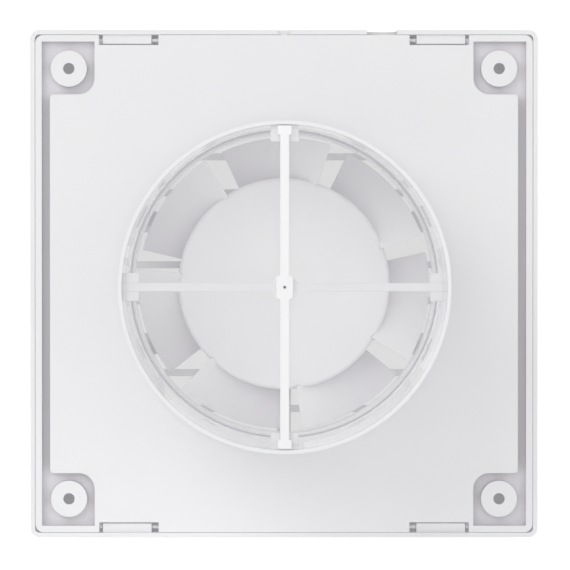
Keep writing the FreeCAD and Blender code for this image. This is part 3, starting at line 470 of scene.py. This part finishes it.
def clear_film():
    """Thin clear polyester: nearly all light goes through, with a faint haze and a skin of reflection."""
    recipe = Recipe("clear_film")
    recipe.tree.nodes.remove(recipe.shader)
    waves = recipe.noise(WAVE_SCALE, WAVE_DETAIL)
    wavy = {"Height": waves, "Strength": WAVE_STRENGTH, "Distance": WAVE_DEPTH}
    bump = recipe.add("ShaderNodeBump", wavy).outputs[0]
    clear = recipe.add("ShaderNodeBsdfTransparent", {"Color": opaque(FILM_CLEAR)}).outputs[0]
    milk = recipe.add("ShaderNodeBsdfDiffuse", {"Color": opaque(FILM_HAZE)}).outputs[0]
    passed = recipe.add("ShaderNodeBsdfTranslucent", {"Color": opaque(FILM_HAZE)}).outputs[0]
    shine = recipe.add("ShaderNodeBsdfGlossy", {"Roughness": FILM_ROUGHNESS, "Normal": bump}).outputs[0]
    cloudy = recipe.mix_shaders(HAZE_SHARE, clear, recipe.mix_shaders(HAZE_PASSED, milk, passed))
    # only faces turned to the viewer reflect: seen from inside the sheet, a slanting face would turn black
    facing = recipe.add("ShaderNodeFresnel", {"IOR": FILM_IOR, "Normal": bump}).outputs[0]
    back = recipe.add("ShaderNodeNewGeometry").outputs["Backfacing"]
    reflected = recipe.sums("MULTIPLY", recipe.between(back, 1.0, 0.0), facing)
    output = recipe.tree.nodes["Material Output"]
    recipe.put(output.inputs["Surface"], recipe.mix_shaders(reflected, cloudy, shine))
    return recipe.material


def paint(material, *nodes):
    """Put a material on each of these CAD nodes."""
    for name in nodes:
        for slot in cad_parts[name].material_slots:
            slot.material = material


# ---- pieces ------------------------------------------------------------------------------------


def new_piece(name, mesh_builder, material):
    """A smooth-shaded mesh object made by filling a bmesh."""
    shape = bmesh.new()
    mesh_builder(shape)
    bmesh.ops.recalc_face_normals(shape, faces=shape.faces)
    mesh = bpy.data.meshes.new(name)
    shape.to_mesh(mesh)
    shape.free()
    mesh.polygons.foreach_set("use_smooth", [True] * len(mesh.polygons))
    mesh.materials.append(material)
    piece = bpy.data.objects.new(name, mesh)
    bpy.context.scene.collection.objects.link(piece)
    return piece


def film_flap(name, node, side, material):
    """Half a disc of film, clamped beside the upright bar, lying loosely on the cross."""
    low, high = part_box(node)
    outer = max(abs(low.z), abs(high.z))
    level = (low.y + high.y) / 2
    tip_angle = math.acos(FILM_INNER_EDGE / outer)

    def sheet(shape, offset):
        """One face of the film, as a grid of points from the clamp to the rim."""
        grid = []
        for row in range(FILM_ROWS + 1):
            angle = tip_angle * (2 * row / FILM_ROWS - 1)
            width = max(outer * math.cos(angle) - FILM_INNER_EDGE, 0.0)
            z = outer * math.sin(angle)
            line = []
            for column in range(FILM_COLUMNS + 1):
                share = column / FILM_COLUMNS
                x = FILM_INNER_EDGE + width * share
                ripple = math.sin(RIPPLE_TURN * angle + RIPPLE_START)
                lift = FILM_RIPPLE * ripple * share ** 2 * width / outer
                line.append(shape.verts.new((side * x, level + lift + offset, z)))
            grid.append(line)
        return grid

    def build(shape):
        near, far = [sheet(shape, offset) for offset in (-FILM_THICK / 2, FILM_THICK / 2)]
        for grid in (near, far):
            for row in range(FILM_ROWS):
                for column in range(FILM_COLUMNS):
                    shape.faces.new((grid[row][column], grid[row + 1][column],
                                     grid[row + 1][column + 1], grid[row][column + 1]))
        for row in range(FILM_ROWS):
            for column in (0, FILM_COLUMNS):
                shape.faces.new((near[row][column], near[row + 1][column],
                                 far[row + 1][column], far[row][column]))
        bmesh.ops.remove_doubles(shape, verts=shape.verts, dist=MERGE_DISTANCE)

    piece = new_piece(name, build, material)
    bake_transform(piece)
    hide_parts(node)


def wound_coil(material):
    """The coil: rounded turns of enamelled wire, side by side round the bobbin's core."""
    low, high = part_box("coil_winding")
    centre_y, centre_z = (low.y + high.y) / 2, (low.z + high.z) / 2
    half_y, half_z = (high.y - low.y) / 2, (high.z - low.z) / 2

    def round_rectangle(share, shrink):
        """A point round a rectangle with round corners, as (y, z)."""
        angle = 2 * math.pi * share
        cosine, sine = math.cos(angle), math.sin(angle)
        stretch = (abs(cosine) ** CORNER_POWER + abs(sine) ** CORNER_POWER) ** (-1 / CORNER_POWER)
        y = centre_y + (half_y - shrink) * cosine * stretch
        z = centre_z + (half_z - shrink) * sine * stretch
        return y, z

    def build(shape):
        rings = []
        count = COIL_TURNS * STEPS_PER_TURN
        for step in range(count + 1):
            x = low.x + (high.x - low.x) * step / count
            groove = GROOVE_DEPTH * (1 - math.cos(2 * math.pi * step / STEPS_PER_TURN)) / 2
            past = max(0.0, abs(step / count - 0.5) * 2 - SHOULDER_FROM)
            shoulder = SHOULDER_DEPTH * past / (1 - SHOULDER_FROM)
            ring = []
            for spot in range(RING_STEPS):
                y, z = round_rectangle(spot / RING_STEPS, groove + shoulder)
                ring.append(shape.verts.new((x, y, z)))
            rings.append(ring)
        for first, second in zip(rings, rings[1:]):
            for spot in range(RING_STEPS):
                following = (spot + 1) % RING_STEPS
                shape.faces.new((first[spot], first[following], second[following], second[spot]))
        shape.faces.new(rings[0])
        shape.faces.new(rings[-1])

    piece = new_piece("coil_turns", build, material)
    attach(piece, "housing")
    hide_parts("coil_winding")


# ---- the object --------------------------------------------------------------------------------

paint(housing_plastic(), "rear_housing")
paint(carrier_plastic(), "motor_carrier")
paint(impeller_plastic(), "impeller")
for name, colour, roughness, glow, nodes in MOULDINGS:
    paint(moulded_plastic(name, colour, roughness, glow).material, *nodes)
for name, colour, roughness, nodes in METALS:
    paint(metal(name, colour, roughness), *nodes)
paint(laminations(), "stator_laminations", "rotor_core")
paint(rubber(), "rubber_dampers")
paint(wire_insulation(), "motor_leads")

film = clear_film()
film_flap("film_left", "flap_left", -1, film)
film_flap("film_right", "flap_right", 1, film)
wound_coil(metal("enamelled_copper", ENAMELLED_COPPER, ENAMEL_ROUGHNESS, ENAMEL_STRETCH))


# ---- studio ------------------------------------------------------------------------------------


def pale_floor():
    """Plain pale paint that the camera sees as brighter, but not through the valve's film."""
    recipe = Recipe("pale_floor")
    recipe.set(Base_Color=opaque(FLOOR_WHITE), Roughness=FLOOR_ROUGHNESS, Emission_Color=(1, 1, 1, 1))
    path = recipe.add("ShaderNodeLightPath").outputs
    seen = recipe.between(path["Transparent Depth"], FLOOR_GLOW_SEEN, FLOOR_GLOW_THROUGH_FILM)
    glow = recipe.sums("MULTIPLY_ADD", path["Is Camera Ray"], seen, FLOOR_GLOW)
    recipe.set(Emission_Strength=glow)
    return recipe.material


def studio_floor():
    """A pale floor that curves up into a backdrop on the room side."""
    level = cad_low.z - FLOOR_DROP

    def build(shape):
        profile = [(FLOOR_NEAR, level), (FLOOR_FAR, level)]
        for step in range(1, BEND_STEPS + 1):
            angle = math.pi / 2 * step / BEND_STEPS
            y = FLOOR_FAR - BACKDROP_BEND * math.sin(angle)
            profile.append((y, level + BACKDROP_BEND * (1 - math.cos(angle))))
        profile.append((FLOOR_FAR - BACKDROP_BEND, BACKDROP_HIGH))
        left, right = [[shape.verts.new((x, y, z)) for y, z in profile]
                       for x in (-FLOOR_HALF_WIDTH, FLOOR_HALF_WIDTH)]
        for spot in range(len(profile) - 1):
            shape.faces.new((left[spot], left[spot + 1], right[spot + 1], right[spot]))

    new_piece("studio_floor", build, pale_floor())


def area_light(name, place, size, power):
    """A square soft light aimed at the fan."""
    light = bpy.data.lights.new(name, "AREA")
    light.size = size
    light.energy = power
    lamp = bpy.data.objects.new(name, light)
    lamp.location = place
    lamp.rotation_euler = (-lamp.location).to_track_quat("-Z", "Y").to_euler()
    bpy.context.scene.collection.objects.link(lamp)
    return lamp


def duct_fill():
    """A soft light across the mouth of the spigot that only reaches the inside."""
    light = bpy.data.lights.new("duct_fill", "AREA")
    light.shape = "DISK"
    light.size = DUCT_FILL_SIZE
    light.energy = DUCT_FILL_POWER
    lamp = bpy.data.objects.new("duct_fill", light)
    lamp.location = (0, SPIGOT_END - DUCT_FILL_DEPTH, 0)
    lamp.rotation_euler = (math.pi / 2, 0, math.pi)
    lamp.visible_camera = False
    lamp.visible_glossy = False
    lamp.visible_transmission = False
    bpy.context.scene.collection.objects.link(lamp)


def studio_world():
    """White surroundings that look white but light the scene softly."""
    world = bpy.data.worlds.new("studio")
    world.use_nodes = True
    nodes, links = world.node_tree.nodes, world.node_tree.links
    background = nodes["Background"]
    background.inputs["Color"].default_value = (1, 1, 1, 1)
    path = nodes.new("ShaderNodeLightPath")
    soft = nodes.new("ShaderNodeMapRange")
    soft.inputs["To Min"].default_value = WORLD_SEEN
    soft.inputs["To Max"].default_value = WORLD_LIGHT
    links.new(path.outputs["Is Diffuse Ray"], soft.inputs["Value"])
    links.new(soft.outputs["Result"], background.inputs["Strength"])
    bpy.context.scene.world = world


def photo_camera():
    """Behind the fan, a little above its axis and square to the wall, far enough back to look flat."""
    data = bpy.data.cameras.new("photo_camera")
    data.sensor_width = SENSOR_WIDTH
    data.lens = SENSOR_WIDTH * CAMERA_PLACE[1] / VIEW_WIDTH
    data.clip_start, data.clip_end = CLIP_RANGE
    camera = bpy.data.objects.new("photo_camera", data)
    camera.location = CAMERA_PLACE
    aim = Vector(CAMERA_AIM) - camera.location
    camera.rotation_euler = aim.to_track_quat("-Z", "Y").to_euler()
    bpy.context.scene.collection.objects.link(camera)
    bpy.context.scene.camera = camera


studio_floor()
studio_world()
area_light("key", KEY_PLACE, KEY_SIZE, KEY_POWER)
front = area_light("front", FRONT_PLACE, FRONT_SIZE, FRONT_POWER)
front.visible_glossy = False
duct_fill()
photo_camera()
bpy.context.scene.view_settings.view_transform = "Standard"
